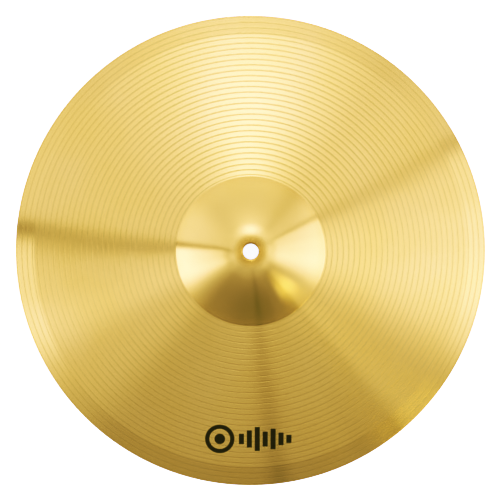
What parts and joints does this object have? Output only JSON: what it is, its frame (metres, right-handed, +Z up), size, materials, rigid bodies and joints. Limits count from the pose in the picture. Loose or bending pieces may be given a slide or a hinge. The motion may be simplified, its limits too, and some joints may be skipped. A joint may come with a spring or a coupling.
{
  "type": "crash cymbal",
  "caption": "Thin brass crash cymbal: domed bell with a mounting hole, wide bow turned with concentric grooves, turned-down rim, and a small printed mark.",
  "frame": {"origin": "centre of the rim, in the plane that the rim rests on", "axes": "+Z up along the mounting hole, towards the bell; -Y towards the printed mark"},
  "size_m": [0.4064, 0.4064, 0.0507],
  "materials": {
    "brass": "lathed satin brass, brushed in circles about the hole, clear lacquered",
    "ink": "screen-printed black ink, satin"
  },
  "bodies": {
    "root": {"cymbal": "brass", "printed_mark": "ink"}
  },
  "joints": []
}
